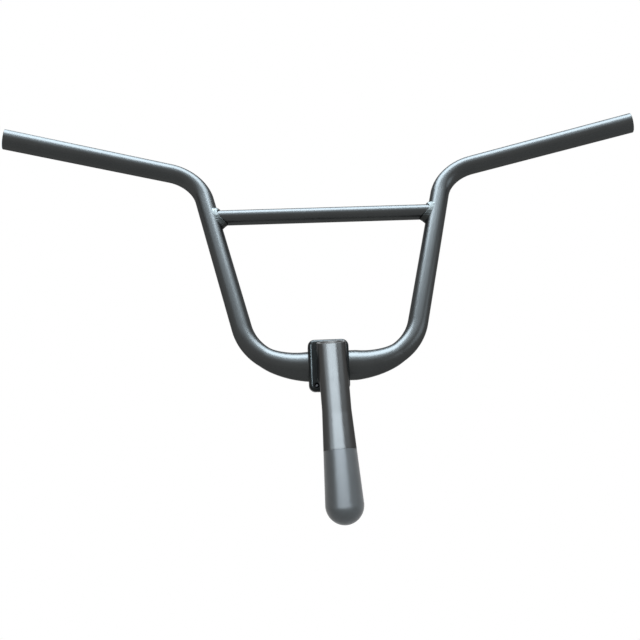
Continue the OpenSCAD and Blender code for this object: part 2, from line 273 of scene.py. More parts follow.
class Blank:
    """One mesh in the making, cut and rounded as at the bench. Its lengths are millimetres."""

    def __init__(self, piece: bpy.types.Object, name: str) -> None:
        """Takes over an object.

        Args:
            piece: The object.
            name: Its new name.
        """
        self.piece = piece
        piece.name = name
        piece.data.name = name

    @classmethod
    def block(cls, name: str, low: Sequence[float], high: Sequence[float]) -> "Blank":
        """Starts from a block of material.

        Args:
            name: Name of the piece.
            low: Its lowest corner.
            high: Its highest corner.

        Returns:
            The new blank.
        """
        bpy.ops.object.select_all(action="DESELECT")
        bpy.ops.mesh.primitive_cube_add(size=1.0)
        blank = cls(bpy.context.object, name)
        blank.piece.scale = [(b - a) * MM for a, b in zip(low, high)]
        blank.piece.location = [(a + b) / 2 * MM for a, b in zip(low, high)]
        bpy.ops.object.transform_apply(location=True, rotation=True, scale=True)
        return blank

    @classmethod
    def rod(
        cls, name: str, radius: float, start: Vector, end: Vector, sides: int = 64
    ) -> "Blank":
        """Starts from a round or many-sided rod.

        Args:
            name: Name of the piece.
            radius: Radius over its corners.
            start: Middle of one end.
            end: Middle of the other end.
            sides: Number of its sides.

        Returns:
            The new blank.
        """
        bpy.ops.object.select_all(action="DESELECT")
        run = Vector(end) - Vector(start)
        bpy.ops.mesh.primitive_cylinder_add(vertices=sides, radius=radius * MM, depth=run.length * MM)
        blank = cls(bpy.context.object, name)
        blank.piece.rotation_euler = run.to_track_quat("Z", "X").to_euler()
        blank.piece.location = (Vector(start) + Vector(end)) / 2 * MM
        bpy.ops.object.transform_apply(location=True, rotation=True, scale=True)
        return blank

    @classmethod
    def copied(cls, name: str, node: str) -> "Blank":
        """Starts from a copy of a CAD node, with its loose triangles joined.

        Args:
            name: Name of the piece.
            node: The CAD node.

        Returns:
            The new blank.
        """
        piece = bpy.data.objects.new(name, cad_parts[node].data.copy())
        bpy.context.scene.collection.objects.link(piece)
        blank = cls(piece, name)
        alone(piece)
        with editing():
            bpy.ops.mesh.select_all(action="SELECT")
            bpy.ops.mesh.remove_doubles(threshold=MERGE_GAP)
        return blank

    @classmethod
    def swept(cls, name: str, route: Sequence[tuple[Vector, float]], sides: int) -> "Blank":
        """Starts from a round skin that is swept along a route.

        Args:
            name: Name of the piece.
            route: Places along its centreline and the radius at each.
            sides: Number of its sides.

        Returns:
            The new blank.
        """
        path = bpy.data.curves.new(name, "CURVE")
        path.dimensions = "3D"
        path.twist_mode = "MINIMUM"
        path.bevel_depth = MM
        path.bevel_resolution = sides // 2 - 2
        line = path.splines.new("POLY")
        line.points.add(len(route) - 1)
        for point, (place, radius) in zip(line.points, route):
            point.co = (*(place * MM), 1.0)
            point.radius = radius
        piece = bpy.data.objects.new(name, path)
        bpy.context.scene.collection.objects.link(piece)
        alone(piece)
        bpy.ops.object.convert(target="MESH")
        blank = cls(bpy.context.object, name)
        with editing():
            bpy.ops.mesh.select_all(action="SELECT")
            bpy.ops.mesh.remove_doubles(threshold=MERGE_GAP)
            bpy.ops.mesh.normals_make_consistent(inside=False)
        return blank

    def thicken(self, wall: float) -> "Blank":
        """Gives an open skin its wall, inwards.

        Args:
            wall: Thickness of the wall.

        Returns:
            This blank.
        """
        shell = self.piece.modifiers.new("wall", "SOLIDIFY")
        shell.thickness = wall * MM
        shell.offset = -1.0
        return self._settle(shell)

    def _mark(self, test: EdgeTest) -> None:
        """Selects edges by the places of their ends, for the next operator.

        Args:
            test: Says whether an edge between two places, in millimetres, is wanted.
        """
        alone(self.piece)
        with editing():
            bpy.ops.mesh.select_mode(type="EDGE")
            bpy.ops.mesh.select_all(action="DESELECT")
        mesh = self.piece.data
        for edge in mesh.edges:
            ends = [mesh.vertices[index].co / MM for index in edge.vertices]
            edge.select = test(*ends)

    def _work(self, test: EdgeTest, operator: Callable[..., Any], **settings: Any) -> "Blank":
        """Runs one operator on chosen edges.

        Args:
            test: Says whether an edge is wanted.
            operator: The operator, which works in edit mode.
            settings: Its settings.

        Returns:
            This blank.
        """
        self._mark(test)
        with editing():
            operator(**settings)
        return self

    def slice(self, test: EdgeTest, cuts: int) -> "Blank":
        """Cuts a number of rings across chosen lengthwise edges."""
        return self._work(test, bpy.ops.mesh.subdivide_edgering, number_cuts=cuts)

    def squeeze(self, test: EdgeTest, factors: tuple[float, float, float], middle: Vector) -> "Blank":
        """Scales the ends of chosen edges by a factor along X, Y and Z about a place."""
        settings = {"value": factors, "center_override": tuple(middle * MM)}
        return self._work(test, bpy.ops.transform.resize, **settings)

    def round_off(self, test: EdgeTest, width: float, steps: int) -> "Blank":
        """Rounds chosen edges to a width with a number of facets."""
        settings = {"offset": width * MM, "segments": steps, "affect": "EDGES", "clamp_overlap": True}
        return self._work(test, bpy.ops.mesh.bevel, **settings)

    def ease_corners(self, width: float, steps: int = 2, above: float = 50.0) -> "Blank":
        """Takes the sharpness off every corner that is sharper than an angle.

        Args:
            width: Width of the rounding.
            steps: Number of its facets.
            above: Least turn of the surface, in degrees.

        Returns:
            This blank.
        """
        easing = self.piece.modifiers.new("ease", "BEVEL")
        easing.limit_method = "ANGLE"
        easing.angle_limit = math.radians(above)
        easing.width = width * MM
        easing.segments = steps
        easing.use_clamp_overlap = True
        return self._settle(easing)

    def fit(self, other: "Blank", operation: str = "DIFFERENCE") -> "Blank":
        """Cuts another blank out of this one, or adds it, and uses that one up.

        Args:
            other: The other blank.
            operation: Kind of boolean.

        Returns:
            This blank.
        """
        joint = self.piece.modifiers.new("fit", "BOOLEAN")
        joint.operation = operation
        joint.solver = "EXACT"
        joint.object = other.piece
        self._settle(joint)
        bpy.data.objects.remove(other.piece)
        return self

    def _settle(self, modifier: bpy.types.Modifier) -> "Blank":
        """Applies one modifier.

        Args:
            modifier: The modifier.

        Returns:
            This blank.
        """
        alone(self.piece)
        bpy.ops.object.modifier_apply(modifier=modifier.name)
        return self

    def carry(self, place: Matrix) -> "Blank":
        """Moves the mesh to its place, and leaves the object at the origin.

        Args:
            place: The move, in metres.

        Returns:
            This blank.
        """
        alone(self.piece)
        self.piece.matrix_world = place
        bpy.ops.object.transform_apply(location=True, rotation=True, scale=True)
        return self

    def twin(self, name: str) -> "Blank":
        """Copies the blank with a mesh of its own.

        Args:
            name: Name of the copy.

        Returns:
            The copy.
        """
        piece = self.piece.copy()
        piece.data = self.piece.data.copy()
        bpy.context.scene.collection.objects.link(piece)
        return Blank(piece, name)

    def smooth(self, below: float) -> "Blank":
        """Shades the surface as smooth, but for corners sharper than an angle.

        Args:
            below: The angle, in degrees.

        Returns:
            This blank.
        """
        alone(self.piece)
        bpy.ops.object.shade_smooth_by_angle(angle=math.radians(below))
        even = self.piece.modifiers.new("even", "WEIGHTED_NORMAL")
        even.keep_sharp = True
        even.weight = 100
        return self._settle(even)

    def line(self, finish: bpy.types.Material, test: Callable[[Vector], bool]) -> "Blank":
        """Gives chosen faces a second finish, such as the inside of a tube.

        Args:
            finish: The second finish.
            test: Says whether a face whose middle is at a place, in millimetres, is wanted.

        Returns:
            This blank.
        """
        mesh = self.piece.data
        mesh.materials.append(finish)
        last = len(mesh.materials) - 1
        for face in mesh.polygons:
            if test(face.center / MM):
                face.material_index = last
        return self

    def dress(self, finish: bpy.types.Material) -> "Blank":
        """Gives the whole mesh its main finish.

        Args:
            finish: The finish.

        Returns:
            This blank.
        """
        self.piece.data.materials.clear()
        self.piece.data.materials.append(finish)
        for face in self.piece.data.polygons:
            face.material_index = 0
        return self

    def seat(self, node: str, slot: str) -> bpy.types.Object:
        """Hands the finished piece over in place of a CAD node.

        Args:
            node: The CAD node that it stands for.
            slot: The record's material slot; not used.

        Returns:
            The finished object.
        """
        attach(self.piece, "root")
        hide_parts(node)
        log.info("%s: %d faces for %s", self.piece.name, len(self.piece.data.polygons), node)
        return self.piece


class Colour(Enum):
    """Finish colours, as linear red, green and blue."""

    GUNMETAL = (0.045, 0.047, 0.047)
    WELD_GREY = (0.062, 0.067, 0.066)
    POST_GREY = (0.048, 0.048, 0.047)
    CAP_GREY = (0.070, 0.075, 0.077)
    CLAMP_BLACK = (0.014, 0.016, 0.016)
    BOLT_STEEL = (0.10, 0.10, 0.105)
    BORE_STEEL = (0.10, 0.095, 0.09)


@dataclass(frozen=True)
class Finish:
    """What all finishes share: a colour, of which they mottle a darker and a lighter tone."""

    name: str
    colour: Colour
    roughness: float
    tones: tuple[float, float]

    def shade(self, share: float) -> tuple[float, ...]:
        """A share of the finish's colour."""
        return tuple(share * part for part in self.colour.value)

    def mottle(self, bench: Bench, share: Signal) -> Signal:
        """Mixes the two tones by the share of the lighter one."""
        return bench.tint(share, *(self.shade(tone) for tone in self.tones))


@dataclass(frozen=True)
class SatinPaint(Finish):
    """Satin metallic paint over steel tube, with fine flake, a soft orange peel and handling marks."""

    name: str = "satin_gunmetal_paint"
    colour: Colour = Colour.GUNMETAL
    roughness: float = 0.33
    tones: tuple[float, float] = (0.84, 1.16)
    edge_tint: float = 0.5
    flake_size: float = 0.0004
    flake_share: float = 0.4
    haze_size: float = 0.035
    haze_wear: float = 0.06
    smudge_size: float = 0.011
    smudge_wear: float = 0.03
    scuff_size: float = 0.0035
    scuff_stretch: tuple[float, float, float] = (0.25, 1.0, 1.0)
    scuff_wear: float = 0.08
    peel_size: float = 0.0024
    peel_depth: float = 0.000010
    peel_grain: float = 0.06
    speck_size: float = 0.006
    speck_rim: tuple[float, float] = (0.035, 0.065)
    speck_tone: float = 0.35
    speck_share: float = 0.6
    speck_wear: float = 0.1
    speck_depth: float = 0.00003

    def make(self) -> bpy.types.Material:
        """Builds the material.

        Returns:
            The finished paint.
        """
        bench = Bench.material(self.name)
        place = bench.place()
        grain = bench.axes(bench.cells(place, self.flake_size, "Color"))[0]
        haze = bench.noise(place, self.haze_size, 3.0)
        smudge = bench.noise(place, self.smudge_size, 4.0).rise(0.55, 0.75)
        drawn = bench.stretched(place, self.scuff_stretch)
        scuffs = bench.noise(drawn, self.scuff_size, 3.0).rise(0.66, 0.80)
        speck = 1.0 - bench.cells(place, self.speck_size, "Distance").rise(*self.speck_rim)
        base = self.mottle(bench, haze * (1.0 - self.flake_share) + grain * self.flake_share)
        rough = self.roughness + (haze - 0.5) * self.haze_wear + smudge * self.smudge_wear
        rough = rough + scuffs * self.scuff_wear + speck * self.speck_wear
        peel = bench.noise(place, self.peel_size)
        grained = bench.bump(peel + grain * self.peel_grain, self.peel_depth)
        pits = {"Strength": 1.0, "Distance": self.speck_depth, "Height": speck, "Normal": grained}
        return bench.surface(
            {
                "Base Color": bench.tint(speck * self.speck_share, base, self.shade(self.speck_tone)),
                "Metallic": 1.0,
                "Roughness": rough,
                "Specular Tint": (self.edge_tint,) * 3,
                "Normal": bench.node("ShaderNodeBump", {"invert": True}, pits),
            }
        )


@dataclass(frozen=True)
class WeldPaint(Finish):
    """The same paint over a weld bead. Below a level it is painted darker, as painted shade under the
    crossbar, and above it the bead keeps its own tones.
    """

    name: str = "painted_weld_bead"
    colour: Colour = Colour.WELD_GREY
    roughness: float = 0.24
    tones: tuple[float, float] = (0.8, 1.25)
    edge_tint: float = 0.6
    level: float = 0.0
    reach: float = 0.0045
    # share of the colour for the painted shade below the level
    underside_shade_tone: float = 0.42
    lump_size: float = 0.0028
    lump_wear: float = 0.10
    lump_depth: float = 0.00004
    spatter_size: float = 0.0009
    spatter_wear: float = 0.04
    spatter_share: float = 0.15

    def make(self) -> bpy.types.Material:
        """Builds the material.

        Returns:
            The finished paint.
        """
        bench = Bench.material(self.name)
        place = bench.place()
        lumps = bench.noise(place, self.lump_size)
        spatter = bench.noise(place, self.spatter_size)
        # painted shade: the bead is painted darker below the crossbar's axis height, where the crossbar
        # shades it
        above_painted_shade = bench.axes(place)[2].rise(self.level - self.reach, self.level + self.reach)
        bead = self.mottle(bench, lumps.rise(0.35, 0.7))
        return bench.surface(
            {
                "Base Color": bench.tint(above_painted_shade, self.shade(self.underside_shade_tone), bead),
                "Metallic": 1.0,
                "Roughness": self.roughness + lumps * self.lump_wear + spatter * self.spatter_wear,
                "Specular Tint": (self.edge_tint,) * 3,
                "Normal": bench.bump(lumps + spatter * self.spatter_share, self.lump_depth),
            }
        )


@dataclass(frozen=True)
class MattePlastic(Finish):
    """Moulded grey plastic with a fine spark-eroded grain and faint rub marks."""

    name: str = "matte_grey_plastic"
    colour: Colour = Colour.CAP_GREY
    roughness: float = 0.36
    tones: tuple[float, float] = (0.86, 1.14)
    shine: float = 0.46
    grain_size: float = 0.00045
    grain_share: float = 0.3
    grain_depth: float = 0.00002
    cloud_size: float = 0.014
    cloud_wear: float = 0.08
    rub_size: float = 0.0012
    rub_stretch: tuple[float, float, float] = (1.0, 1.0, 0.2)
    rub_wear: float = 0.06

    def make(self) -> bpy.types.Material:
        """Builds the material.

        Returns:
            The finished plastic.
        """
        bench = Bench.material(self.name)
        place = bench.place()
        grain = bench.noise(place, self.grain_size)
        cloud = bench.noise(place, self.cloud_size, 3.0)
        rubs = bench.noise(bench.stretched(place, self.rub_stretch), self.rub_size, 3.0).rise(0.6, 0.8)
        share = cloud * (1.0 - self.grain_share) + grain * self.grain_share
        return bench.surface(
            {
                "Base Color": self.mottle(bench, share),
                "Roughness": self.roughness + (cloud - 0.5) * self.cloud_wear - rubs * self.rub_wear,
                "Specular IOR Level": self.shine,
                "Normal": bench.bump(grain, self.grain_depth),
            }
        )


@dataclass(frozen=True)
class BlackCoat(Finish):
    """Near black satin coat on the forged clamp, with a fine cast grain."""

    name: str = "black_satin_coat"
    colour: Colour = Colour.CLAMP_BLACK
    roughness: float = 0.30
    tones: tuple[float, float] = (0.8, 1.5)
    metallic: float = 0.6
    shine: float = 0.35
    edge_tint: float = 0.5
    grain_size: float = 0.0009
    grain_wear: float = 0.08
    grain_share: float = 0.15
    lump_size: float = 0.0032
    lump_depth: float = 0.00004
    cloud_size: float = 0.012
    rub_size: float = 0.006
    rub_share: float = 0.4
    rub_wear: float = 0.05

    def make(self) -> bpy.types.Material:
        """Builds the material.

        Returns:
            The finished coat.
        """
        bench = Bench.material(self.name)
        place = bench.place()
        grain = bench.noise(place, self.grain_size, 3.0)
        lumps = bench.noise(place, self.lump_size)
        cloud = bench.noise(place, self.cloud_size)
        rubbed = bench.noise(place, self.rub_size, 5.0).rise(0.60, 0.78)
        share = cloud * (1.0 - self.rub_share) + rubbed * self.rub_share
        return bench.surface(
            {
                "Base Color": self.mottle(bench, share),
                "Metallic": self.metallic,
                "Roughness": self.roughness + (grain - 0.5) * self.grain_wear - rubbed * self.rub_wear,
                "Specular IOR Level": self.shine,
                "Specular Tint": (self.edge_tint,) * 3,
                "Normal": bench.bump(lumps + grain * self.grain_share, self.lump_depth),
            }
        )


@dataclass(frozen=True)
class BareBore(Finish):
    """Unpainted, lightly oxidised steel inside a tube, with lengthwise drawing lines."""

    name: str = "bare_bore_steel"
    colour: Colour = Colour.BORE_STEEL
    roughness: float = 0.48
    tones: tuple[float, float] = (0.5, 1.0)
    metallic: float = 0.8
    scale_size: float = 0.004
    scale_wear: float = 0.2
    line_size: float = 0.0008
    line_stretch: tuple[float, float, float] = (0.3, 1.0, 1.0)
    line_depth: float = 0.00003

    def make(self) -> bpy.types.Material:
        """Builds the material.

        Returns:
            The finished steel.
        """
        bench = Bench.material(self.name)
        place = bench.place()
        scale = bench.noise(place, self.scale_size, 4.0)
        lines = bench.noise(bench.stretched(place, self.line_stretch), self.line_size)
        return bench.surface(
            {
                "Base Color": self.mottle(bench, scale.rise(0.3, 0.7)),
                "Metallic": self.metallic,
                "Roughness": self.roughness + scale * self.scale_wear,
                "Normal": bench.bump(lines, self.line_depth),
            }
        )


@dataclass(frozen=True)
class BoltSteel(Finish):
    """Blackened bolt steel with turning marks."""

    name: str = "blackened_bolt_steel"
    colour: Colour = Colour.BOLT_STEEL
    roughness: float = 0.28
    tones: tuple[float, float] = (0.7, 1.0)
    mark_size: float = 0.0016
    mark_stretch: tuple[float, float, float] = (1.0, 8.0, 1.0)
    mark_wear: float = 0.15
    mark_depth: float = 0.00002

    def make(self) -> bpy.types.Material:
        """Builds the material.

        Returns:
            The finished steel.
        """
        bench = Bench.material(self.name)
        turned = bench.noise(bench.stretched(bench.place(), self.mark_stretch), self.mark_size)
        return bench.surface(
            {
                "Base Color": self.mottle(bench, turned),
                "Metallic": 1.0,
                "Roughness": self.roughness + turned * self.mark_wear,
                "Normal": bench.bump(turned, self.mark_depth),
            }
        )


@dataclass
class BentBar:
    """The bent bar, its crossbar and the two weld beads that join them, in millimetres and degrees."""

    clamp: tuple[float, float, float] = (2.4, 53.8, 37.9)
    tilt: float = 2.4
    lean: float = 18.6
    tube_radius: float = 11.1
    centre_radius: float = 15.9
    wall: float = 1.6
    centre_half: float = 25.0
    easy_radius: float = 96.6
    easy_turn: float = 20.0
    lower_radius: float = 60.9
    narrowing_turn: float = 33.7
    splay: float = 14.9
    riser_length: float = 176.4
    upper_radius: float = 44.5
    up_sweep: float = 1.6
    back_sweep: float = 19.4
    grip_length: float = 183.2
    crossbar_drop: float = 25.3
    crossbar_radius: float = 9.0
    crossbar_wall: float = 1.4
    bead_width: float = 0.94
    bead_crown: float = 0.98
    straight_step: float = 8.0
    turn_step: float = 2.5
    sides: int = 48
    fine_sides: int = 96
    rings: int = 32
    mouth_rounding: float = 0.4
    mouth_margin: float = 0.2
    bore_margin: float = 0.6
    cutter_start: float = 20.0

    def build(self) -> None:
        """Makes and dresses the bar's pieces."""
        paint = SatinPaint().make()
        self._bent_tube(paint, BareBore().make())
        self._crossbar(paint)
        for side, way in (("left", -1), ("right", 1)):
            self._weld(side, way)

    def _where(self) -> Matrix:
        """Gives the place of the bar's own frame, in which its risers rise along Z.

        Returns:
            The place.
        """
        where = Matrix.Translation(Vector(self.clamp) * MM)
        where = where @ Matrix.Rotation(math.radians(self.tilt), 4, "Y")
        return where @ Matrix.Rotation(math.radians(-self.lean), 4, "X")

    def _lower_bend(self) -> Vector:
        """Gives the middle of the right lower bend.

        Returns:
            Its place.
        """
        turn = math.radians(self.easy_turn)
        spare = self.easy_radius - self.lower_radius
        return Vector(
            (self.centre_half + spare * math.sin(turn), 0, self.easy_radius - spare * math.cos(turn))
        )

    def _riser(self) -> tuple[Vector, Vector]:
        """Gives the foot and the heading of the right riser.

        Returns:
            The place and the direction.
        """
        splay = math.radians(self.splay)
        out = Vector((math.cos(splay), 0, -math.sin(splay)))
        return (
            self._lower_bend() + self.lower_radius * out,
            Vector((math.sin(splay), 0, math.cos(splay))),
        )

    @staticmethod
    def _shares(size: float, step: float) -> list[float]:
        """Even shares of a length or angle up to 1, without 0 and no further apart than a step."""
        count = max(1, math.ceil(size / step))
        return [number / count for number in range(1, count + 1)]

    def _right_half(self) -> list[tuple[Vector, float]]:
        """Follows the right half of the centreline from the bar's middle.

        Returns:
            Places and the tube's radius at each.
        """
        easy = self.easy_radius * math.radians(self.easy_turn)
        rest = self.lower_radius * math.radians(self.narrowing_turn - self.easy_turn)
        run = [
            (Vector((share * self.centre_half, 0, 0)), self.centre_radius)
            for share in self._shares(self.centre_half, self.straight_step)
        ]

        def narrowed(done: float) -> float:
            """Gives the radius at a length from the swelled middle's end."""
            share = min(1.0, done / (easy + rest))
            return self.centre_radius + (self.tube_radius - self.centre_radius) * share

        for share in self._shares(self.easy_turn, self.turn_step):
            turn = math.radians(share * self.easy_turn)
            place = Vector((math.sin(turn), 0, 1 - math.cos(turn))) * self.easy_radius
            run.append((place + Vector((self.centre_half, 0, 0)), narrowed(share * easy)))
        middle = self._lower_bend()
        span = 90 - self.splay - self.easy_turn
        for share in self._shares(span, self.turn_step):
            turn = math.radians(self.easy_turn + share * span)
            place = middle + Vector((math.sin(turn), 0, -math.cos(turn))) * self.lower_radius
            done = easy + self.lower_radius * math.radians(share * span)
            run.append((place, narrowed(done)))
        foot, up = self._riser()
        for share in self._shares(self.riser_length, self.straight_step):
            run.append((foot + up * (self.riser_length * share), self.tube_radius))
        rise, sweep = math.radians(self.up_sweep), math.radians(self.back_sweep)
        grip = Vector(
            (math.cos(rise) * math.cos(sweep), -math.cos(rise) * math.sin(sweep), math.sin(rise))
        )
        aside = (grip - up * grip.dot(up)).normalized()
        angle = grip.angle(up)
        top = foot + up * self.riser_length
        for share in self._shares(math.degrees(angle), self.turn_step):
            turn = share * angle
            place = aside * (1 - math.cos(turn)) + up * math.sin(turn)
            run.append((top + place * self.upper_radius, self.tube_radius))
        start = run[-1][0]
        for share in self._shares(self.grip_length, self.straight_step):
            run.append((start + grip * (self.grip_length * share), self.tube_radius))
        return run

    def _bent_tube(self, paint: bpy.types.Material, bore: bpy.types.Material) -> None:
        """Sweeps the tube along its bends, gives it its wall and rounds its mouths.

        Args:
            paint: Finish of the outside.
            bore: Finish of the inside.
        """
        right = self._right_half()
        mirrored = [(Vector((-place.x, place.y, place.z)), radius) for place, radius in right]
        middle = (Vector((0, 0, 0)), self.centre_radius)
        route = [*reversed(mirrored), middle, *right]
        blank = Blank.swept("bent_tube", route, self.sides)
        blank.thicken(self.wall).ease_corners(self.mouth_rounding, 3, 60.0)
        axis = [place for place, _ in route]
        bare = [
            (axis[index], (axis[index] - axis[after]).normalized())
            for index, after in ((0, 1), (-1, -2))
        ]
        reach = self.tube_radius - self.wall + self.bore_margin

        def inside(place: Vector) -> bool:
            """Says whether a place lies in the bore of a grip end."""
            for end, out in bare:
                offset = place - end
                run = offset.dot(out)
                if -self.grip_length < run < -self.mouth_margin and (offset - run * out).length < reach:
                    return True
            return False

        blank.dress(paint).line(bore, inside).carry(self._where()).smooth(40.0)
        blank.seat("main_tube", "bar_paint")

    def _crossbar_end(self, way: int) -> Vector:
        """Gives the place where the crossbar's axis meets a riser's.

        Args:
            way: 1 for the right riser, -1 for the left one.

        Returns:
            The place.
        """
        foot, up = self._riser()
        height = foot.z + self.riser_length * up.z - self.crossbar_drop
        return Vector((way * (foot.x + (height - foot.z) * up.x / up.z), 0, height))

    def _weld(self, side: str, way: int) -> None:
        """Draws one weld bead in, so that its toes sink into both tubes.

        Args:
            side: Side of its CAD node.
            way: 1 for the right riser, -1 for the left one.
        """
        middle = self._crossbar_end(way)
        bead = Blank.copied(f"{side}_bead", f"{side}_weld").carry(self._where().inverted())
        bead.squeeze(lambda a, b: True, (1.0, self.bead_width, 1.0), middle)
        bead.squeeze(lambda a, b: min(a.z, b.z) > middle.z, (1.0, 1.0, self.bead_crown), middle)
        bead.carry(self._where()).smooth(55.0)
        # height below which the bead gets its painted shade
        level = (self._where() @ (middle * MM)).z
        bead.dress(WeldPaint(name=f"{side}_weld_bead_paint", level=level).make())
        bead.seat(f"{side}_weld", "weld_paint")

    def _crossbar(self, paint: bpy.types.Material) -> None:
        """Cuts the crossbar's tube to sit on both risers.

        Args:
            paint: Its finish.
        """
        foot, up = self._riser()
        ends = (self._crossbar_end(-1), self._crossbar_end(1))
        tube = Blank.rod("crossbar_tube", self.crossbar_radius, *ends, self.sides)
        tube.slice(along(X), self.rings)
        tube.fit(Blank.rod("bore", self.crossbar_radius - self.crossbar_wall, *ends, self.sides))
        for side in (-1, 1):
            low, high = (foot + up * run for run in (self.cutter_start, self.riser_length))
            line = (Vector((side * end.x, 0, end.z)) for end in (low, high))
            tube.fit(Blank.rod("riser_cutter", self.tube_radius, *line, self.fine_sides))
        tube.dress(paint).carry(self._where()).smooth(30.0).seat("crossbar", "bar_paint")


@dataclass
class SteeringPost:
    """The flared post, its weld to the stem's neck and the domed cap at its foot."""

    rim_rounding: float = 0.45
    cap_rounding: float = 0.8
    bore_reach: float = 12.9
    smoothing: float = 40.0

    def build(self) -> None:
        """Makes and dresses the post's pieces."""
        paint = SatinPaint(
            name="post_metallic_paint",
            colour=Colour.POST_GREY,
            roughness=0.30,
            speck_depth=0.00005,
        )
        tube = Blank.copied("flared_post", "steering_post").ease_corners(self.rim_rounding)
        tube.dress(paint.make()).line(
            BareBore(name="post_bore_steel").make(),
            lambda place: math.hypot(place.x, place.y) < self.bore_reach,
        )
        tube.smooth(self.smoothing).seat("steering_post", "post_paint")
        cap = Blank.copied("domed_cap", "end_cap").ease_corners(self.cap_rounding, 3)
        cap.dress(MattePlastic().make()).smooth(self.smoothing).seat("end_cap", "cap_plastic")
        fillet = Blank.copied("neck_fillet", "post_weld").dress(
            BlackCoat(name="neck_fillet_coat", lump_depth=0.00025).make()
        )
        fillet.smooth(self.smoothing).seat("post_weld", "clamp_paint")


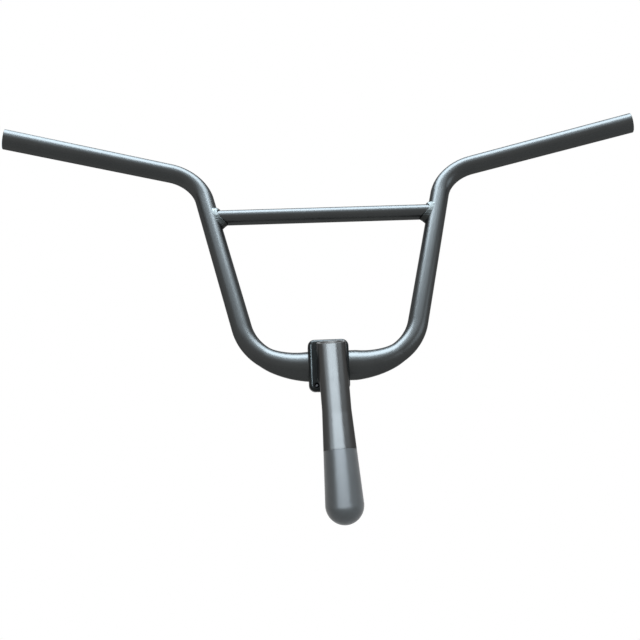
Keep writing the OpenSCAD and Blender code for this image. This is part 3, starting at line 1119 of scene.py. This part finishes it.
@dataclass
class StemClamp:
    """The clamp's rear body with its neck, the face plate and four bolts."""

    place: tuple[float, float, float] = (2.4, 53.8, 37.9)
    tilt: float = 2.4
    middle: float = -4.6
    width: float = 42.5
    height: float = 54.0
    corner: float = 7.0
    rear: float = -18.5
    half_gap: float = 1.0
    lug_depth: float = 10.0
    bore_radius: float = 15.9
    shell_radius: float = 20.5
    rear_rounding: float = 4.2
    front_rounding: float = 1.6
    hidden_rounding: float = 0.5
    mouth_chamfer: float = 0.7
    chamfer_share: float = 0.98
    lip_reach: float = 4.0
    bore_reach: float = 5.0
    neck_middle: float = -2.4
    neck_width: float = 25.0
    neck_height: float = 40.0
    neck_corner: float = 6.0
    neck_overlap: float = 1.5
    post_radius: float = 14.3
    post_run: tuple[float, float] = (-60.0, 120.0)
    bolt_spacing: tuple[float, float] = (26.5, 40.5)
    hole_radius: float = 2.6
    hole_floor: float = -15.0
    past: float = 2.0
    spot_depth: float = 0.6
    spot_margin: float = 0.8
    pocket_radius: float = 4.35
    head_seat: float = 7.0
    head_radius: float = 4.25
    head_height: float = 5.0
    head_rounding: float = 0.7
    head_chamfer: float = 0.25
    thread_radius: float = 2.5
    thread_pitch: float = 0.8
    thread_end: float = -14.6
    thread_start: float = 1.0
    tip_rounding: float = 1.7
    groove: float = 0.86
    socket_radius: float = 2.309
    socket_depth: float = 2.5
    overlap: float = 0.5
    behind_reach: tuple[float, float, float] = (60.0, 40.0, 40.0)
    pocket_end: float = 30.0
    hole_sides: int = 32
    head_sides: int = 40
    bore_sides: int = 96
    post_sides: int = 128
    smoothing: float = 35.0
    bolt_smoothing: float = 32.0

    def build(self) -> None:
        """Makes and dresses the clamp's pieces."""
        where = Matrix.Translation(Vector(self.place) * MM)
        where = where @ Matrix.Rotation(math.radians(self.tilt), 4, "Y")
        coat = BlackCoat().make()
        self._rear_body(where, coat)
        self._face_plate(where, coat)
        self._bolts(where, BoltSteel().make())

    def _plate(self, name: str, run: tuple[float, float], shown: float, rounding: float) -> Blank:
        """Blocks out one half of the clamp, with round corners.

        Args:
            name: Name of the piece.
            run: Lower and upper bound along Y.
            shown: The bound whose rim gets the large rounding.
            rounding: Width of that rounding.

        Returns:
            The blank.
        """
        near, far = run
        left, right = self._edges()
        half = self.height / 2
        plate = Blank.block(name, (left, near, -half), (right, far, half))
        plate.round_off(along(Y), self.corner, 8)
        plate.round_off(in_plane(Y, shown), rounding, 6)
        hidden = near if shown == far else far
        return plate.round_off(in_plane(Y, hidden), self.hidden_rounding, 2)

    def _edges(self) -> tuple[float, float]:
        """Bounds of the clamp along X."""
        return self.middle - self.width / 2, self.middle + self.width / 2

    def _roll(self, name: str, radius: float, start: float, end: float) -> Blank:
        """A rod on the bar's axis between two distances."""
        return Blank.rod(name, radius, Vector((start, 0, 0)), Vector((end, 0, 0)), self.bore_sides)

    def _pin(self, name: str, radius: float, run: tuple, sides: int, x: float = 0, z: float = 0) -> Blank:
        """A rod along Y between two distances."""
        return Blank.rod(name, radius, Vector((x, run[0], z)), Vector((x, run[1], z)), sides)

    def _bore(self) -> Blank:
        """Makes the cutter of the bar's bore, flared where it leaves the clamp.

        Returns:
            The cutter.
        """
        left, right = self._edges()
        run = (left - self.bore_reach, right + self.bore_reach)
        cutter = self._roll("bore_cutter", self.bore_radius, *run)
        radius = self.bore_radius + self.mouth_chamfer
        for side, edge in ((-1, left), (1, right)):
            inner = edge - side * self.mouth_chamfer
            lip = self._roll("lip_cutter", radius, inner, edge + side * self.lip_reach)
            lip.round_off(in_plane(X, inner), self.mouth_chamfer * self.chamfer_share, 1)
            cutter.fit(lip, "UNION")
        return cutter

    def _bolt_spots(self) -> list[tuple[float, float]]:
        """Lists the four bolt axes across the clamp.

        Returns:
            Their X and Z.
        """
        across, up = (spacing / 2 for spacing in self.bolt_spacing)
        return [(self.middle + i * across, j * up) for j in (-1, 1) for i in (-1, 1)]

    def _rear_body(self, where: Matrix, coat: bpy.types.Material) -> None:
        """Makes the rear half with its neck.

        Args:
            where: The clamp's place.
            coat: Its finish.
        """
        body = self._plate("clamp_rear", (self.rear, -self.half_gap), self.rear, self.rear_rounding)
        side, up = self.neck_width / 2, self.neck_height / 2
        neck = Blank.block(
            "neck",
            (self.neck_middle - side, -self.place[1], -up),
            (self.neck_middle + side, self.rear + self.neck_overlap, up),
        )
        neck.round_off(along(Y), self.neck_corner, 8)
        body.fit(neck, "UNION").fit(self._bore())
        behind = self.rear - self.past
        spot_run = (behind, self.rear + self.spot_depth)
        for spot in self._bolt_spots():
            through = spot[1] < 0
            run = (behind if through else self.hole_floor, self.half_gap)
            body.fit(self._pin("hole_cutter", self.hole_radius, run, self.hole_sides, *spot))
            if through:
                radius = self.hole_radius + self.spot_margin
                body.fit(self._pin("spot_cutter", radius, spot_run, self.hole_sides, *spot))
        body.carry(where)
        ends = (Vector((0, 0, height)) for height in self.post_run)
        body.fit(Blank.rod("post_cutter", self.post_radius, *ends, self.post_sides))
        body.dress(coat).smooth(self.smoothing).seat("clamp_body", "clamp_paint")

    def _face_plate(self, where: Matrix, coat: bpy.types.Material) -> None:
        """Makes the front half, which closes round the bar.

        Args:
            where: The clamp's place.
            coat: Its finish.
        """
        deep = self.lug_depth
        lug = self._plate("clamp_face", (self.half_gap, deep), deep, self.front_rounding)
        shell = self._roll("shell", self.shell_radius, *self._edges())
        shell.round_off(lambda a, b: abs(a.x - b.x) < TOUCH, self.front_rounding, 4)
        side, back, up = self.behind_reach
        front = self.half_gap + self.overlap
        shell.fit(Blank.block("behind", (-side, -back, -up), (side, front, up)))
        lug.fit(shell, "UNION").fit(self._bore())
        holes = (
            (self.hole_radius, (0.0, deep + self.past), self.hole_sides),
            (self.pocket_radius, (self.head_seat, self.pocket_end), self.head_sides),
        )
        for spot in self._bolt_spots():
            for radius, run, sides in holes:
                lug.fit(self._pin("hole_cutter", radius, run, sides, *spot))
        lug.carry(where).dress(coat).smooth(self.smoothing).seat("face_plate", "clamp_paint")

    def _bolts(self, where: Matrix, steel: bpy.types.Material) -> None:
        """Makes one socket head bolt and three copies of it.

        Args:
            where: The clamp's place.
            steel: Their finish.
        """
        top = self.head_seat + self.head_height
        bolt = self._pin("bolt", self.head_radius, (self.head_seat, top), self.head_sides)
        bolt.round_off(in_plane(Y, top), self.head_rounding, 3)
        bolt.round_off(in_plane(Y, self.head_seat), self.head_chamfer, 1)
        run = (top - self.socket_depth, top + self.past)
        bolt.fit(self._pin("socket_cutter", self.socket_radius, run, 6))
        bolt.fit(self._shank(), "UNION")
        bolt.smooth(self.bolt_smoothing).dress(steel)
        spots = self._bolt_spots()
        for number, (x, z) in enumerate(spots, 1):
            made = bolt if number == len(spots) else bolt.twin(f"clamp_bolt_{number}")
            made.piece.name = f"clamp_bolt_{number}"
            made.carry(where @ Matrix.Translation(Vector((x, 0, z)) * MM))
            made.seat("clamp_bolts", "bolt_steel")

    def _shank(self) -> Blank:
        """Makes a bolt's shank, with grooves of the thread's pitch and a rounded end.

        Returns:
            The blank.
        """
        run = (self.thread_end, self.head_seat + self.overlap)
        shank = self._pin("shank", self.thread_radius, run, self.hole_sides)
        shank.round_off(in_plane(Y, self.thread_end), self.tip_rounding, 6)
        start = self.thread_end + self.tip_rounding
        turns = int((run[1] - start) / self.thread_pitch) * 2
        shank.slice(along(Y, 2 * self.tip_rounding), turns - 1)
        step = (run[1] - start) / turns
        return shank.squeeze(
            lambda a, b: start + step / 4 < max(a.y, b.y) < self.thread_start
            and round((a.y - start) / step) % 2 == 0
            and abs(a.y - b.y) < TOUCH,
            (self.groove, 1.0, self.groove),
            Vector((0, 0, 0)),
        )


@dataclass(frozen=True)
class Softbox:
    """One rectangular studio light, which lights gloss alone or colour alone.

    Where falls_on names pieces, it lights only those.
    """

    name: str
    centre: tuple[float, float, float]
    width: float
    height: float
    radiance: float
    aim: tuple[float, float, float] = (0.01, 0.06, 0.12)
    colour_only: bool = False
    falls_on: tuple[str, ...] = ()
    tint: tuple[float, float, float] = (0.85, 0.98, 1.09)

    def hang(self) -> None:
        """Adds the light, turned to its aim."""
        lamp = bpy.data.lights.new(self.name, "AREA")
        lamp.shape = "RECTANGLE"
        lamp.size = self.width
        lamp.size_y = self.height
        lamp.color = self.tint
        lamp.energy = self.radiance * math.pi * self.width * self.height
        holder = bpy.data.objects.new(self.name, lamp)
        bpy.context.scene.collection.objects.link(holder)
        facing = Vector(self.aim) - Vector(self.centre)
        holder.location = self.centre
        holder.rotation_euler = facing.to_track_quat("-Z", "Y").to_euler()
        holder.visible_camera = False
        holder.visible_diffuse = self.colour_only
        holder.visible_glossy = not self.colour_only
        if self.falls_on:
            lit = bpy.data.collections.new(f"{self.name}_falls_on")
            for piece in self.falls_on:
                lit.objects.link(bpy.data.objects[piece])
            holder.light_linking.receiver_collection = lit


@dataclass
class Studio:
    """Camera, lamps, white surround and pale floor."""

    lens: float = 36.5625
    sensor: float = 36.0
    eye: tuple[float, float, float] = (-0.03278, -0.63316, 0.00100)
    turn: tuple[float, float, float] = (97.211, 4.650, -1.560)
    floor_drop: float = 0.30
    floor_middle: tuple[float, float] = (0.0, -0.90)
    floor_radius: float = 1.45
    floor_fade: tuple[float, float] = (0.75, 0.98)
    floor_colour: tuple[float, float, float] = (0.86, 0.86, 0.86)
    floor_glow: float = 0.65
    ambient: float = 0.38
    ambient_tint: tuple[float, float, float] = (0.96, 1.0, 1.0)
    lamps: tuple[Softbox, ...] = field(
        default_factory=lambda: (
            Softbox("ceiling", (0.0, 0.02, 2.60), 2.6, 2.0, 23.0),
            Softbox("front_top", (-0.15, -1.55, 2.03), 4.0, 0.9, 2.4),
            Softbox("right_wall", (2.14, -1.17, 0.55), 1.6, 0.9, 3.0),
            Softbox("right_top", (1.60, -0.75, 2.05), 1.2, 0.9, 2.5),
            Softbox(
                "window",
                (-0.125, -1.19, 0.13),
                1.8,
                0.50,
                16.5,
                aim=(0.0, 0.0, 0.13),
                falls_on=("flared_post", "domed_cap"),
            ),
            Softbox(
                "window_side",
                (-1.0, -0.65, -0.04),
                0.55,
                0.8,
                4.0,
                aim=(0.0, 0.0, -0.04),
                falls_on=("flared_post",),
            ),
            Softbox(
                "edge_strip",
                (-0.55, -1.04, 0.26),
                0.12,
                0.20,
                260.0,
                aim=(-0.02, 0.035, 0.04),
                falls_on=("clamp_rear", "clamp_bolt_1"),
            ),
            Softbox("fill", (0.9, -0.9, 1.2), 1.5, 1.5, 3.0, aim=(0.0, 0.05, 0.05), colour_only=True),
        )
    )

    def build(self) -> None:
        """Sets the camera, the light and the floor."""
        self._camera()
        self._surround()
        for lamp in self.lamps:
            lamp.hang()
        self._floor()
        bpy.context.scene.view_settings.view_transform = "Standard"

    def _camera(self) -> None:
        """Adds the camera at the photograph's place."""
        data = bpy.data.cameras.new("camera")
        data.lens = self.lens
        data.sensor_width = self.sensor
        data.clip_start = 0.01
        holder = bpy.data.objects.new("camera", data)
        holder.location = self.eye
        holder.rotation_euler = [math.radians(part) for part in self.turn]
        bpy.context.scene.collection.objects.link(holder)
        bpy.context.scene.camera = holder

    def _surround(self) -> None:
        """Makes the world white to the camera and in reflections, and soft grey as light."""
        world = bpy.data.worlds.new("surround")
        bpy.context.scene.world = world
        bench = Bench(world, "ShaderNodeOutputWorld")
        seen = bench.rays("Is Camera Ray", "Is Glossy Ray", "Is Transmission Ray")
        soft = {"Color": self.ambient_tint, "Strength": self.ambient}
        light = bench.node("ShaderNodeBackground", None, soft)
        white = bench.node("ShaderNodeBackground", None, {"Color": WHITE, "Strength": 1.0})
        bench.finish(bench.blend(seen, light, white))

    def _floor(self) -> None:
        """Adds a pale round floor that fades out into the white surround.

        It looks whiter to the camera and in reflections than the light that it throws back.
        """
        bpy.ops.object.select_all(action="DESELECT")
        low = CAD_BOX[0].z - self.floor_drop
        bpy.ops.mesh.primitive_circle_add(
            vertices=96,
            radius=self.floor_radius,
            fill_type="NGON",
            location=(*self.floor_middle, low),
        )
        floor = bpy.context.object
        floor.name = "floor"
        bpy.ops.object.transform_apply(location=True, rotation=True, scale=True)
        bench = Bench.material("pale_floor")
        spot = bench.axes(bench.place())
        aside, ahead = (spot[axis] - self.floor_middle[axis] for axis in (X, Y))
        reach = (aside * aside + ahead * ahead) ** 0.5
        fade = reach.rise(*(self.floor_radius * share for share in self.floor_fade))
        pale = bench.node("ShaderNodeBsdfDiffuse", None, {"Color": self.floor_colour})
        white = bench.node("ShaderNodeEmission", None, {"Color": WHITE})
        glow = bench.rays("Is Camera Ray", "Is Glossy Ray") * self.floor_glow
        clear = bench.node("ShaderNodeBsdfTransparent")
        look = bench.finish(bench.blend(fade, bench.blend(glow, pale, white), clear))
        floor.data.materials.append(look)


def main() -> None:
    """Builds and dresses every piece, then the studio."""
    logging.basicConfig(level=logging.INFO, format="%(name)s %(message)s")
    for assembly in (BentBar(), SteeringPost(), StemClamp(), Studio()):
        log.info("building %s", type(assembly).__name__)
        assembly.build()


if __name__ == "__main__":
    main()
